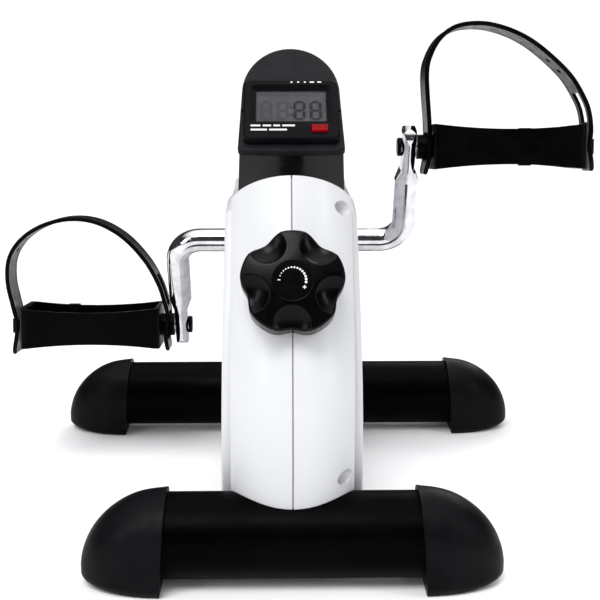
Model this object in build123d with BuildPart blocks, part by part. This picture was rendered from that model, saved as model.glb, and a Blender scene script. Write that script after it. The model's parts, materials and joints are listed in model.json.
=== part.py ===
from build123d import *
import math
import os

# Pedal exerciser. X runs across the machine, +Y away from the user, +Z up.
# The origin is on the floor, in the middle of the base. All sizes in millimetres.

# ---- stabilizers ----
tube_radius = 25
tube_wall = 2
tube_axis_height = 28
tube_spacing = 300
tube_in_foot = 12
front_foot_face = 71.6
rear_foot_face = 125.9
foot_length = 51
foot_half_width = 28
foot_corner = 8
foot_dome_centre = 9
foot_flat_cut = 1.5
foot_height = 60
foot_face_lean = 4
foot_dome_turns = [0, 22, 42, 58, 70, 79, 85.5]

# ---- frame inside the housing ----
rail_width = 40
rail_height = 25
rail_wall = 2
rail_centre_height = 30
plate_thickness = 3
plate_inner_face = rail_width / 2
bolt_radius = 4
bolt_spots = [(-45, rail_centre_height), (65, rail_centre_height)]

# ---- crank ----
crank_y = 22
crank_z = 173
crank_radius = 73
crank_lean = 25
crank_tube_radius = 8
crank_tube_wall = 2
crank_bend_radius = 16
arm_offset = 77.5
arm_eye_half_thickness = 5
arm_tip_radius = 6
arm_eye_half_width = 9
arm_eye_reach = 14.5
arm_taper_start = 24
arm_taper_length = 9
hub_radius = 12
hub_half_length = 18
hub_pin_offset = 14.5
drum_radius = 30
drum_half_width = 11
bush_radius = 13
fit_clearance = 0.04

# ---- brake band ----
band_clearance = 0.4
band_thickness = 1.6
band_half_width = 8
band_anchor = (-20, 200)
band_anchor_radius = 3
band_tail_end = (-74.5, 132.4)

# ---- pedals ----
pedal_offset = 141
pedal_length = 98
pedal_depth = 50
pedal_end_height = 29
pedal_mid_height = 22.5
pedal_wall = 3
pedal_tilt = 5
pedal_tab_offset = 17
pedal_tab_width = 8
pedal_tube_radius = 8
spindle_radius = 4
collar_radius = 9
pin_head_radius = 6
peg_reach = 7

# ---- straps: centre lines seen from the user's side, from the pedal's centre ----
strap_width = 28
strap_thickness = 3
slot_width = 14
slot_start = 15
slot_rise = 20
stud_reach = 6.4
left_strap_route = [
    (-55.5, -20), (-52.5, 0), (-55, 14), (-58.5, 32), (-57, 49), (-48, 62.5), (-33, 72),
    (-14, 76.5), (5, 74), (23, 64), (38, 48), (47.5, 31.5), (52, 18), (54, 8), (52.5, -6), (54, -18),
]
right_strap_route = [
    (-53.6, -18), (-51.1, -4), (-51.3, 14), (-53.3, 46), (-50.5, 59.5), (-44, 70), (-34, 76.5), (-20, 78.3),
    (-6, 76), (9, 70), (23, 60.5), (39, 45.5), (48.5, 30.5), (52, 21), (53.3, 10), (52.6, 0), (55, -16),
]

# ---- housing ----
housing_wall = 2.5
seam_half_width = 0.35
seam_depth = 1.2
panel_half_width = 35.5
panel_radius = 40
panel_back = -60
core_base_half_width = 42.2
core_top_half_width = 39.7
core_edge_radius = 4
shelf_height = 216
core_floor = 14
screw_seat = 14
screw_bite = 12
panel_front = [(-162, 40), (-168, 65), (-170, 95), (-167, 119), (-145, 168), (-114.5, 218), (-104, 240)]
core_front = [(-128, 40), (-135, 95), (-110, 166), (-79, 207)]
core_back = [(-79, 207), (22, 197), (72, 165), (118, 108), (162, 50)]
core_base = [(150, 30), (118, core_floor), (-118, core_floor)]
spine_back = [(-34, shelf_height), (22, 213), (76, 180), (126, 118), (172, 52)]
spine_base = [(165, 30), (panel_back, 30), (panel_back, shelf_height)]
screw_spots = [(-104, 211), (-154, 64), (-95, 90), (104, 84)]

# ---- console and meter ----
face_slope = 40
face_half_width = 31.2
face_crown_half_width = 29.4
face_length = 90
face_straight = 50
cover_thickness = 4
meter_along = 30.5
meter_width = 56
meter_height = 50
meter_rise = 5
window_width = 41.5
window_height = 26.5
window_shift = 4
case_width = 49.4
case_height = 45.4
notch_spot = 29.2
case_depth = 13
case_wall = 1.5
button_spot = (16.5, -17.5)

# ---- knob ----
knob_tilt = 24
knob_radius = 29.4
knob_dish_radius = 14
knob_dish_depth = 2.8
knob_gap = 4
knob_thickness = 18
screw_radius = 4
screw_length = 80
nut_place = -75
nut_length = 10
boss_depth = 12

# ---- worked out ----
front_tube_y = -tube_spacing / 2
rear_tube_y = tube_spacing / 2
plate_middle = plate_inner_face + plate_thickness / 2
plate_outer_face = plate_inner_face + plate_thickness
tube_axes = [(front_tube_y, tube_axis_height), (rear_tube_y, tube_axis_height)]
crank_centre = Vector(0, crank_y, crank_z)
lean = math.radians(crank_lean)
right_arm = Vector(0, -math.sin(lean), math.cos(lean))
tilt = math.radians(pedal_tilt)
pedal_up = Vector(0, math.sin(tilt), math.cos(tilt))
slope = math.radians(face_slope)
arch_rise = face_length - face_straight
face_plane = Plane((0, -108, 245), x_dir=(1, 0, 0), z_dir=(0, -math.sin(slope), math.cos(slope)))
meter_spot = face_plane.from_local_coords((0, meter_along, 0))
meter_plane = Plane(meter_spot, x_dir=(1, 0, 0), z_dir=face_plane.z_dir)
rise = math.radians(knob_tilt)
knob_plane = Plane((0, -143.5, 171), x_dir=(1, 0, 0), z_dir=(0, -math.cos(rise), math.sin(rise)))

os.makedirs("parts", exist_ok=True)


def save(piece, name):
    """Label a finished piece and write it as one STEP file."""
    piece.part.label = name
    export_step(piece.part, f"parts/{name}.step")


# ---------------------------------------------------------------- stabilizers

def make_stabilizer(name, y, half_length):
    """Open round steel tube along X."""
    with BuildPart() as tube:
        with BuildSketch(Plane.YZ):
            with Locations((y, tube_axis_height)):
                Circle(tube_radius)
                Circle(tube_radius - tube_wall, mode=Mode.SUBTRACT)
        extrude(amount=half_length, both=True)
    save(tube, name)


def make_foot(name, side, y, face):
    """Domed end cap with a flat sole: tombstone sections that shrink outwards along a quarter ellipse."""
    with BuildPart() as foot:
        for turn in foot_dome_turns:
            scale = math.cos(math.radians(turn))
            half = foot_half_width * scale
            corner = foot_corner * scale
            low = foot_dome_centre * (1 - scale) - foot_flat_cut
            middle = foot_dome_centre + (tube_axis_height - foot_dome_centre) * scale
            across = side * (face + foot_length * math.sin(math.radians(turn)))
            bevel = corner * (1 - math.sqrt(0.5))
            with BuildSketch(Plane((across, y, 0), x_dir=(0, 1, 0), z_dir=(1, 0, 0))):
                with BuildLine():
                    ThreePointArc((-half, middle), (0, middle + half), (half, middle))
                    Line((half, middle), (half, low + corner))
                    ThreePointArc((half, low + corner), (half - bevel, low + bevel), (half - corner, low))
                    Line((half - corner, low), (corner - half, low))
                    ThreePointArc((corner - half, low), (bevel - half, low + bevel), (-half, low + corner))
                    Line((-half, low + corner), (-half, middle))
                make_face()
        loft()
        with BuildSketch(Plane.XY):
            with Locations((side * (face + foot_length / 2), y)):
                Rectangle(2 * foot_length, 3 * foot_half_width)
        extrude(amount=-foot_dome_centre, mode=Mode.SUBTRACT)
        with BuildSketch(Plane.XZ.offset(-y)):
            low_end = side * (face + foot_face_lean)
            Polygon((side * face, foot_height), (low_end, -1), (side * face, -1), align=None)
        extrude(amount=2 * foot_half_width, both=True, mode=Mode.SUBTRACT)
        with BuildSketch(Plane((side * face, y, tube_axis_height), x_dir=(0, 1, 0), z_dir=(side, 0, 0))):
            Circle(tube_radius)
        extrude(amount=tube_in_foot, mode=Mode.SUBTRACT)
    save(foot, name)


# ---------------------------------------------------------------- frame

def make_rail():
    """Rectangular tube between the stabilizers, its ends coped to the round tubes."""
    with BuildPart() as rail:
        with BuildSketch(Plane.XZ):
            with Locations((0, rail_centre_height)):
                Rectangle(rail_width, rail_height)
                Rectangle(rail_width - 2 * rail_wall, rail_height - 2 * rail_wall, mode=Mode.SUBTRACT)
        extrude(amount=tube_spacing / 2, both=True)
        with BuildSketch(Plane.YZ):
            with Locations(*tube_axes):
                Circle(tube_radius)
            with Locations(*bolt_spots):
                Circle(bolt_radius)
        extrude(amount=rail_width, both=True, mode=Mode.SUBTRACT)
    save(rail, "base_rail")


def make_frame_plate(name, side):
    """Steel plate from the rail up to the axle and the anchor pin of the brake band."""
    with BuildPart() as plate:
        with BuildSketch(Plane.YZ.offset(side * plate_middle)):
            with Locations((10, rail_centre_height)):
                Rectangle(150, rail_height)
            with Locations((crank_y, crank_z)):
                Circle(20)
            with Locations(band_anchor):
                Circle(8)
            make_hull()
            with Locations((5, 85)):
                Circle(19, mode=Mode.SUBTRACT)
            with Locations((crank_y, crank_z)):
                Circle(bush_radius, mode=Mode.SUBTRACT)
            with Locations(band_anchor):
                Circle(band_anchor_radius, mode=Mode.SUBTRACT)
            with Locations(*bolt_spots):
                Circle(bolt_radius, mode=Mode.SUBTRACT)
        extrude(amount=plate_thickness / 2, both=True)
    save(plate, name)


def make_frame_bolts():
    """Two bolts along X through both plates and the rail, with their nuts."""
    with BuildPart() as bolts:
        with BuildSketch(Plane.YZ.offset(plate_outer_face)):
            with Locations(*bolt_spots):
                RegularPolygon(6.5, 6, major_radius=False)
        extrude(amount=5)
        with BuildSketch(Plane.YZ.offset(plate_outer_face)):
            with Locations(*bolt_spots):
                Circle(bolt_radius)
        extrude(amount=-2 * plate_outer_face - 9)
    save(bolts, "frame_bolts")
    with BuildPart() as nuts:
        with BuildSketch(Plane.YZ.offset(-plate_outer_face)):
            with Locations(*bolt_spots):
                RegularPolygon(6.5, 6, major_radius=False)
                Circle(bolt_radius, mode=Mode.SUBTRACT)
        extrude(amount=-6.5)
    save(nuts, "frame_nuts")


def make_bush(name, side):
    """Flanged bush in a frame plate, bored for the crank tube."""
    with BuildPart() as bush:
        with BuildSketch(Plane.YZ.offset(side * plate_inner_face)):
            with Locations((crank_y, crank_z)):
                Circle(bush_radius)
        extrude(amount=side * 8)
        with BuildSketch(Plane.YZ.offset(side * plate_outer_face)):
            with Locations((crank_y, crank_z)):
                Circle(bush_radius + 3)
        extrude(amount=side * 2)
        with BuildSketch(Plane.YZ):
            with Locations((crank_y, crank_z)):
                Circle(crank_tube_radius + fit_clearance)
        extrude(amount=side * 40, mode=Mode.SUBTRACT)
    save(bush, name)


# ---------------------------------------------------------------- crank

def make_crank(name, side):
    """Bent steel tube with a flattened, rounded and drilled outer end."""
    arm = right_arm * side
    bend_plane = Plane(crank_centre, x_dir=(side, 0, 0), z_dir=Vector(side, 0, 0).cross(arm))
    arm_plane = Plane(crank_centre + Vector(side * arm_offset, 0, 0), x_dir=(1, 0, 0), z_dir=arm)
    eye_plane = Plane(arm_plane.origin, x_dir=arm, z_dir=(1, 0, 0))
    taper_start = crank_radius - arm_taper_start
    eye_start = taper_start + arm_taper_length
    eye_end = crank_radius + arm_eye_reach
    tip_centre = eye_end - 0.4 - arm_tip_radius
    with BuildPart() as crank:
        with BuildLine(bend_plane):
            FilletPolyline((1, 0), (arm_offset, 0), (arm_offset, taper_start), radius=crank_bend_radius)
        with BuildSketch(Plane(crank_centre + Vector(side, 0, 0), x_dir=(0, 1, 0), z_dir=(side, 0, 0))):
            Circle(crank_tube_radius)
            Circle(crank_tube_radius - crank_tube_wall, mode=Mode.SUBTRACT)
        sweep()
        with BuildSketch(arm_plane.offset(taper_start)):
            Circle(crank_tube_radius)
        with BuildSketch(arm_plane.offset(eye_start)):
            Ellipse(arm_eye_half_thickness, arm_eye_half_width)
        loft()
        with BuildSketch(arm_plane.offset(eye_start)):
            Ellipse(arm_eye_half_thickness, arm_eye_half_width)
        extrude(amount=eye_end - eye_start)
        with BuildSketch(eye_plane):
            with Locations(((eye_start + eye_end - arm_eye_half_width) / 2, 0)):
                Rectangle(eye_end - arm_eye_half_width - eye_start, 3 * arm_eye_half_width)
            with Locations((eye_end - arm_eye_half_width, 0)):
                Circle(arm_eye_half_width)
            with Locations((0, 0)):
                Rectangle(2 * eye_start, 3 * arm_eye_half_width)
        extrude(amount=6 * arm_offset, both=True, mode=Mode.INTERSECT)
        with BuildSketch(bend_plane):
            with Locations((arm_offset, tip_centre)):
                Circle(arm_tip_radius)
            with Locations((0, tip_centre - 2 * arm_offset)):
                Rectangle(6 * arm_offset, 4 * arm_offset)
        extrude(amount=2 * arm_offset, both=True, mode=Mode.INTERSECT)
        with BuildSketch(eye_plane):
            with Locations((crank_radius, 0)):
                Circle(spindle_radius)
        extrude(amount=2 * crank_tube_radius, both=True, mode=Mode.SUBTRACT)
        with BuildSketch(Plane.XZ.offset(-crank_y)):
            with Locations((side * hub_pin_offset, crank_z)):
                Circle(2)
        extrude(amount=2 * crank_tube_radius, both=True, mode=Mode.SUBTRACT)
    save(crank, name)


def make_hub():
    """Steel sleeve that joins the two crank tubes, with its two cross pins."""
    with BuildPart() as hub:
        with BuildSketch(Plane.YZ):
            with Locations((crank_y, crank_z)):
                Circle(hub_radius)
                Circle(crank_tube_radius, mode=Mode.SUBTRACT)
        extrude(amount=hub_half_length, both=True)
        with BuildSketch(Plane.XZ.offset(-crank_y)):
            with Locations((-hub_pin_offset, crank_z), (hub_pin_offset, crank_z)):
                Circle(2)
        extrude(amount=hub_radius, both=True, mode=Mode.SUBTRACT)
    save(hub, "crank_hub")
    with BuildPart() as pins:
        with BuildSketch(Plane.XZ.offset(-crank_y)):
            with Locations((-hub_pin_offset, crank_z), (hub_pin_offset, crank_z)):
                Circle(2)
        extrude(amount=hub_radius - 0.5, both=True)
    save(pins, "hub_pins")


def make_drum():
    """Brake drum with a thick rim and a web, and the magnet in its side."""
    with BuildPart() as drum:
        with BuildSketch(Plane.YZ):
            with Locations((crank_y, crank_z)):
                Circle(drum_radius)
                Circle(hub_radius, mode=Mode.SUBTRACT)
        extrude(amount=drum_half_width, both=True)
        for side in (-1, 1):
            with BuildSketch(Plane.YZ.offset(side * drum_half_width)):
                with Locations((crank_y, crank_z)):
                    Circle(drum_radius - 4)
                    Circle(hub_radius + 4, mode=Mode.SUBTRACT)
            extrude(amount=-side * (drum_half_width - 3), mode=Mode.SUBTRACT)
        with BuildSketch(Plane.YZ.offset(3)):
            with Locations((crank_y - 21, crank_z)):
                Circle(4.5)
        extrude(amount=6)
        with BuildSketch(Plane.YZ.offset(6)):
            with Locations((crank_y - 21, crank_z)):
                Circle(3)
        extrude(amount=6, mode=Mode.SUBTRACT)
    save(drum, "brake_drum")
    with BuildPart() as magnet:
        with BuildSketch(Plane.YZ.offset(6)):
            with Locations((crank_y - 21, crank_z)):
                Circle(3)
        extrude(amount=4)
    save(magnet, "sensor_magnet")


def make_sensor():
    """Reed sensor on the right plate, level with the magnet's path."""
    with BuildPart() as sensor:
        with BuildSketch(Plane.YZ.offset(plate_inner_face)):
            with Locations((crank_y - 21, crank_z)):
                RectangleRounded(9, 16, 1.5)
        extrude(amount=-6)
    save(sensor, "reed_sensor")


# ---------------------------------------------------------------- brake band

def tangent_point(spot, radius, turn):
    """Where the straight line from a spot touches a circle about the crank axis."""
    away_y = spot[0] - crank_y
    away_z = spot[1] - crank_z
    bearing = math.atan2(away_z, away_y)
    angle = bearing + turn * math.acos(radius / math.hypot(away_y, away_z))
    return (crank_y + radius * math.cos(angle), crank_z + radius * math.sin(angle))


def make_band():
    """Felt-lined band: from the anchor pin over the drum and round its back to the nut."""
    radius = drum_radius + band_clearance + band_thickness / 2
    eye_bottom = (band_anchor[0], band_anchor[1] + band_anchor_radius + band_thickness / 2 + 1)
    over = tangent_point(eye_bottom, radius, -1)
    under = tangent_point(band_tail_end, radius, 1)
    with BuildPart() as band:
        with BuildSketch(Plane.YZ):
            with BuildLine():
                Line(eye_bottom, over)
                ThreePointArc(over, (crank_y + radius, crank_z), under)
                Line(under, band_tail_end)
                offset(amount=band_thickness / 2, kind=Kind.ARC)
            make_face()
            with Locations(band_anchor):
                Circle(band_anchor_radius + band_thickness + 1)
                Circle(band_anchor_radius, mode=Mode.SUBTRACT)
        extrude(amount=band_half_width, both=True)
    save(band, "brake_band")
    with BuildPart() as pin:
        with BuildSketch(Plane.YZ):
            with Locations(band_anchor):
                Circle(band_anchor_radius)
        extrude(amount=plate_outer_face + 1.5, both=True)
    save(pin, "band_anchor_pin")


# ---------------------------------------------------------------- knob and screw

def make_knob():
    """Five-lobed knob with a finger scallop between each two lobes, and its centre disc."""
    face = knob_gap + knob_thickness
    with BuildPart() as knob:
        with BuildSketch(knob_plane.offset(knob_gap)) as outline:
            Circle(knob_radius)
            with PolarLocations(knob_radius + knob_dish_radius - knob_dish_depth, 5, start_angle=53):
                Circle(knob_dish_radius, mode=Mode.SUBTRACT)
            fillet(outline.vertices(), radius=4)
        extrude(amount=knob_thickness)
        for lobe in range(5):
            turn = math.radians(53 + 72 * lobe)
            dip = knob_plane.from_local_coords((26.5 * math.cos(turn), 26.5 * math.sin(turn), face + 11.2))
            with Locations(dip):
                Sphere(16.5, mode=Mode.SUBTRACT)
        with BuildSketch(knob_plane.offset(face - 1)):
            Circle(11)
        extrude(amount=1, mode=Mode.SUBTRACT)
        with BuildSketch(knob_plane.offset(knob_gap)):
            Circle(screw_radius)
        extrude(amount=12, mode=Mode.SUBTRACT)
    save(knob, "tension_knob")
    with BuildPart() as disc:
        with BuildSketch(knob_plane.offset(face - 1)):
            Circle(11)
        extrude(amount=0.8)
    save(disc, "knob_disc")


def make_screw():
    """Tension screw fixed in the knob, the clip that holds it in the housing, and its nut."""
    with BuildPart() as screw:
        with BuildSketch(knob_plane.offset(knob_gap + 12)):
            Circle(screw_radius)
        extrude(amount=-knob_gap - 12 - screw_length)
    save(screw, "tension_screw")
    with BuildPart() as clip:
        with BuildSketch(knob_plane.offset(-boss_depth - 0.5)):
            Circle(screw_radius + 3.5)
            Circle(screw_radius, mode=Mode.SUBTRACT)
        extrude(amount=-1.2)
    save(clip, "screw_clip")
    with BuildPart() as nut:
        with BuildSketch(knob_plane.offset(nut_place)):
            RectangleRounded(18, 16, 1.5)
            Circle(screw_radius + fit_clearance, mode=Mode.SUBTRACT)
        extrude(amount=nut_length)
    save(nut, "tension_nut")


# ---------------------------------------------------------------- housing

def set_in(outline, inset):
    """Closed clockwise outline with every corner moved inwards along its miter."""
    moved = []
    for place, corner in enumerate(outline):
        before = (Vector(*corner) - Vector(*outline[place - 1])).normalized()
        after = (Vector(*outline[(place + 1) % len(outline)]) - Vector(*corner)).normalized()
        share = inset / (1 + before.dot(after))
        moved.append((corner[0] + share * (before.Y + after.Y), corner[1] - share * (before.X + after.X)))
    return moved


def housing_body(inset):
    """Core, raised spine and bowed front panel in one solid, all set in by one amount."""
    panel_half = panel_half_width - inset
    bow = panel_radius - inset
    drop = bow - math.sqrt(bow ** 2 - panel_half ** 2)
    base_half = core_base_half_width - inset
    top_half = core_top_half_width - inset
    core = set_in(core_front + core_back[1:] + core_base, inset)
    corner = len(core_front) - 1
    last = corner + len(core_back) - 1
    spine = set_in(spine_back + spine_base, inset)
    spine_end = len(spine_back) - 1
    with BuildPart() as body:
        with BuildSketch(Plane.YZ):
            with BuildLine():
                Spline(*core[:corner + 1])
                Spline(*core[corner:last + 1])
                Polyline(*core[last:], core[0])
            make_face()
        extrude(amount=core_base_half_width, both=True)
        with BuildSketch(Plane.XZ):
            with BuildLine():
                Polyline((-base_half, core_floor), (base_half, core_floor), (top_half, shelf_height))
                Polyline((top_half, shelf_height), (-top_half, shelf_height), (-base_half, core_floor))
            make_face()
        extrude(amount=tube_spacing, both=True, mode=Mode.INTERSECT)
        fillet(side_wall_edges(body), radius=core_edge_radius - inset)
        with BuildSketch(Plane.YZ):
            with BuildLine():
                Spline(*spine[:spine_end + 1])
                Polyline(*spine[spine_end:], spine[0])
            make_face()
        extrude(amount=panel_half, both=True)
        for front, height in panel_front:
            with BuildSketch(Plane.XY.offset(height)):
                with BuildLine():
                    edge = front + inset + drop
                    ThreePointArc((-panel_half, edge), (0, front + inset), (panel_half, edge))
                    Polyline((panel_half, edge), (panel_half, panel_back + 2 * inset))
                    Polyline((panel_half, panel_back + 2 * inset), (-panel_half, panel_back + 2 * inset))
                    Polyline((-panel_half, panel_back + 2 * inset), (-panel_half, edge))
                make_face()
        loft()
        with BuildSketch(Plane.YZ):
            neck_space(inset)
        extrude(amount=2 * panel_half_width, both=True, mode=Mode.SUBTRACT)
    return body.part


def side_wall_edges(body):
    """Long edges round both slanted side walls."""
    walls = [body.faces().sort_by(Axis.X)[0], body.faces().sort_by(Axis.X)[-1]]
    return [edge for wall in walls for edge in wall.edges() if edge.center().Z > core_floor + 1]


def neck_space(inset):
    """Side outline of the room above the housing's shelf, where the neck stands."""
    low = shelf_height - inset
    Polygon((-93.5, low), (-34, low), (-34, 340), (-134, 340), (-134, low + 41.5), align=None)


def make_shells():
    """Left and right half of the housing, split on the middle plane, with screw posts in both."""
    seam = Box(2 * seam_half_width, 2 * tube_spacing, 3 * shelf_height) - housing_body(seam_depth)
    with BuildPart() as hollow:
        add(housing_body(housing_wall))
        with Locations((0, 0, core_floor)):
            Box(2 * (core_base_half_width - housing_wall), 236, 30)
        with BuildSketch(Plane.YZ):
            with Locations(*screw_spots):
                Circle(6.5)
        extrude(amount=2 * core_base_half_width, both=True, mode=Mode.SUBTRACT)
        with BuildSketch(knob_plane.offset(-boss_depth)):
            Circle(10)
        extrude(amount=boss_depth + 30, mode=Mode.SUBTRACT)
    with BuildPart() as shells:
        add(housing_body(0))
        add(hollow, mode=Mode.SUBTRACT)
        with BuildSketch(knob_plane.offset(-boss_depth / 2)):
            Circle(9)
        extrude(amount=boss_depth / 2 + knob_gap - 0.6)
        add(seam, mode=Mode.SUBTRACT)
        with BuildSketch(Plane.YZ):
            with Locations(*tube_axes):
                Circle(tube_radius + 0.2)
            with Locations((crank_y, crank_z)):
                Circle(crank_tube_radius + 0.8)
        extrude(amount=2 * core_base_half_width, both=True, mode=Mode.SUBTRACT)
        with BuildSketch(Plane.YZ):
            with Locations(*screw_spots):
                Circle(1.6)
        extrude(amount=-screw_bite - 1, mode=Mode.SUBTRACT)
        with BuildSketch(Plane.YZ.offset(screw_seat)):
            with Locations(*screw_spots):
                Circle(4.5)
        extrude(amount=core_base_half_width, mode=Mode.SUBTRACT)
        with BuildSketch(Plane.YZ):
            with Locations(*screw_spots):
                Circle(2.1)
        extrude(amount=screw_seat, mode=Mode.SUBTRACT)
        with BuildSketch(Plane.XZ):
            with Locations((0, rail_centre_height)):
                Rectangle(rail_width + 0.8, rail_height + 0.8)
        extrude(amount=tube_spacing / 2, both=True, mode=Mode.SUBTRACT)
        with BuildSketch(knob_plane.offset(-boss_depth - 10)):
            Circle(screw_radius + 0.4)
        extrude(amount=boss_depth + 60, mode=Mode.SUBTRACT)
        with BuildSketch(Plane.XY.offset(shelf_height - 10)):
            with Locations((0, -64)):
                RectangleRounded(30, 36, 6)
        extrude(amount=20, mode=Mode.SUBTRACT)
    for word, kept in (("left", Keep.BOTTOM), ("right", Keep.TOP)):
        with BuildPart() as shell:
            add(shells)
            split(bisect_by=Plane.YZ, keep=kept)
        save(shell, f"{word}_shell")
    with BuildPart() as screws:
        with BuildSketch(Plane.YZ.offset(screw_seat)):
            with Locations(*screw_spots):
                Circle(3.8)
        extrude(amount=2.6)
        with BuildSketch(Plane.YZ.offset(screw_seat)):
            with Locations(*screw_spots):
                Circle(1.6)
        extrude(amount=-screw_seat - screw_bite)
        with BuildSketch(Plane.YZ.offset(screw_seat + 2.6)):
            for spot in screw_spots:
                with Locations(spot):
                    Rectangle(4.4, 1)
                    Rectangle(1, 4.4)
        extrude(amount=-1.2, mode=Mode.SUBTRACT)
    save(screws, "shell_screws")


# ---------------------------------------------------------------- neck, console cover and meter

def neck_body(inset):
    """Solid from the bowed base on the housing's shelf up to the arched underside of the cover."""
    base_half = 32 - inset
    top_half = face_half_width - 1 - inset
    crown_half = face_crown_half_width - 1 - inset
    with BuildPart() as body:
        with BuildSketch(Plane.XY.offset(shelf_height - 11)):
            with BuildLine():
                ThreePointArc((-base_half, -90 + inset), (0, -106.5 + inset), (base_half, -90 + inset))
                Line((base_half, -90 + inset), (base_half, -60))
                ThreePointArc((base_half, -60), (0, -38 - inset), (-base_half, -60))
                Line((-base_half, -60), (-base_half, -90 + inset))
            make_face()
        with BuildSketch(face_plane.offset(-cover_thickness - inset)):
            with BuildLine():
                ThreePointArc((-top_half, 2 + inset), (0, 1 + inset), (top_half, 2 + inset))
                Line((top_half, 2 + inset), (crown_half, face_straight))
                EllipticalCenterArc((0, face_straight), crown_half, arch_rise - 1 - inset, arc_size=180)
                Line((-crown_half, face_straight), (-top_half, 2 + inset))
            make_face()
        loft()
    return body.part


def make_neck():
    """Glossy hollow neck between the housing and the console cover."""
    with BuildPart() as neck:
        add(neck_body(0))
        add(neck_body(housing_wall), mode=Mode.SUBTRACT)
        with BuildSketch(Plane.YZ):
            neck_space(0)
        extrude(amount=2 * panel_half_width, both=True, mode=Mode.INTERSECT)
        with BuildSketch(meter_plane.offset(-case_depth - 0.6)):
            Rectangle(case_width + 0.6, case_height + 0.6)
        extrude(amount=case_depth + 0.6, mode=Mode.SUBTRACT)
    save(neck, "neck_cover")


def make_console_cover():
    """Arched cover plate with the meter's pocket and a finger notch at each side of it."""
    with BuildPart() as cover:
        with BuildSketch(face_plane) as outline:
            with BuildLine():
                ThreePointArc((-face_half_width, 0.8), (0, 0), (face_half_width, 0.8))
                Line((face_half_width, 0.8), (face_crown_half_width, face_straight))
                EllipticalCenterArc((0, face_straight), face_crown_half_width, arch_rise, arc_size=180)
                Line((-face_crown_half_width, face_straight), (-face_half_width, 0.8))
            make_face()
            fillet(outline.vertices().group_by(Axis.Y)[0], radius=3)
        extrude(amount=-cover_thickness)
        top = cover.faces().sort_by(Axis((0, 0, 0), face_plane.z_dir))[-1]
        fillet(top.edges(), radius=1.5)
        with BuildSketch(meter_plane):
            Rectangle(case_width + 0.6, case_height + 0.6)
        extrude(amount=-cover_thickness, mode=Mode.SUBTRACT)
        with BuildSketch(face_plane):
            with Locations((-notch_spot, meter_along + 3), (notch_spot, meter_along + 3)):
                Rectangle(2, 2.4)
        extrude(amount=-1.5, mode=Mode.SUBTRACT)
    save(cover, "console_cover")


def make_meter():
    """Removable meter: frame, window, display, circuit board, case, battery and battery door."""
    with BuildPart() as bezel:
        with BuildSketch(meter_plane):
            RectangleRounded(meter_width, meter_height, 4)
        extrude(amount=meter_rise)
        top = bezel.faces().sort_by(Axis((0, 0, 0), meter_plane.z_dir))[-1]
        fillet(top.edges(), radius=1.4)
        with BuildSketch(meter_plane):
            RectangleRounded(meter_width - 3, meter_height - 3, 2.5)
        extrude(amount=3, mode=Mode.SUBTRACT)
        for step in range(3):
            margin = 2 * (3 - step)
            with BuildSketch(meter_plane.offset(meter_rise - 0.6 * step)):
                with Locations((0, window_shift)):
                    RectangleRounded(window_width + margin, window_height + margin, 1 + margin / 3)
            extrude(amount=-0.6, mode=Mode.SUBTRACT)
        with BuildSketch(meter_plane):
            with Locations((0, window_shift)):
                RectangleRounded(window_width, window_height, 1)
            with Locations(button_spot):
                RectangleRounded(10.4, 6, 1)
        extrude(amount=meter_rise, mode=Mode.SUBTRACT)
    save(bezel, "meter_bezel")
    with BuildPart() as window:
        with BuildSketch(meter_plane.offset(2)):
            with Locations((0, window_shift)):
                Rectangle(window_width + 3, window_height + 3)
        extrude(amount=1)
    save(window, "lcd_window")
    with BuildPart() as display:
        with BuildSketch(meter_plane.offset(0.8)):
            with Locations((0, window_shift)):
                Rectangle(window_width + 2.5, window_height + 2.5)
        extrude(amount=1.2)
    save(display, "lcd_panel")
    with BuildPart() as board:
        with BuildSketch(meter_plane.offset(-0.8)):
            Rectangle(case_width - 2 * case_wall - 0.2, case_height - 2 * case_wall - 0.2)
        extrude(amount=1.6)
    save(board, "circuit_board")
    with BuildPart() as case:
        with BuildSketch(meter_plane):
            RectangleRounded(case_width, case_height, 2)
        extrude(amount=-case_depth)
        with BuildSketch(meter_plane):
            Rectangle(case_width - 2 * case_wall, case_height - 2 * case_wall)
        extrude(amount=case_wall - case_depth, mode=Mode.SUBTRACT)
        with BuildSketch(meter_plane):
            with Locations((0, -12)):
                Rectangle(46, 13)
        extrude(amount=-case_depth, mode=Mode.SUBTRACT)
    save(case, "meter_case")
    with BuildPart() as door:
        with BuildSketch(meter_plane.offset(-case_depth)):
            with Locations((0, -12)):
                Rectangle(45.6, 12.6)
        extrude(amount=case_wall)
    save(door, "battery_door")
    with BuildPart() as battery:
        middle = meter_plane.from_local_coords(Vector(0, -12, -6.2))
        with BuildSketch(cross_plane(middle, 0, 1)):
            Circle(5.2)
        extrude(amount=22, both=True)
        with BuildSketch(cross_plane(middle, 22, 1)):
            Circle(1.9)
        extrude(amount=0.9)
    save(battery, "battery")
    with BuildPart() as button:
        with BuildSketch(meter_plane.offset(2)):
            with Locations(button_spot):
                RectangleRounded(12, 7.4, 1)
        extrude(amount=0.7)
        with BuildSketch(meter_plane.offset(2.7)):
            with Locations(button_spot):
                RectangleRounded(9.8, 5.4, 0.8)
        extrude(amount=4)
        fillet(button.faces().sort_by(Axis((0, 0, 0), meter_plane.z_dir))[-1].edges(), radius=0.6)
    save(button, "reset_button")


# ---------------------------------------------------------------- pedals and straps

def cross_plane(centre, shift, facing):
    """Plane at right angles to X, shifted along X from a centre and facing +X or -X."""
    return Plane(centre + Vector(shift, 0, 0), x_dir=(0, 1, 0), z_dir=(facing, 0, 0))


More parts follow.
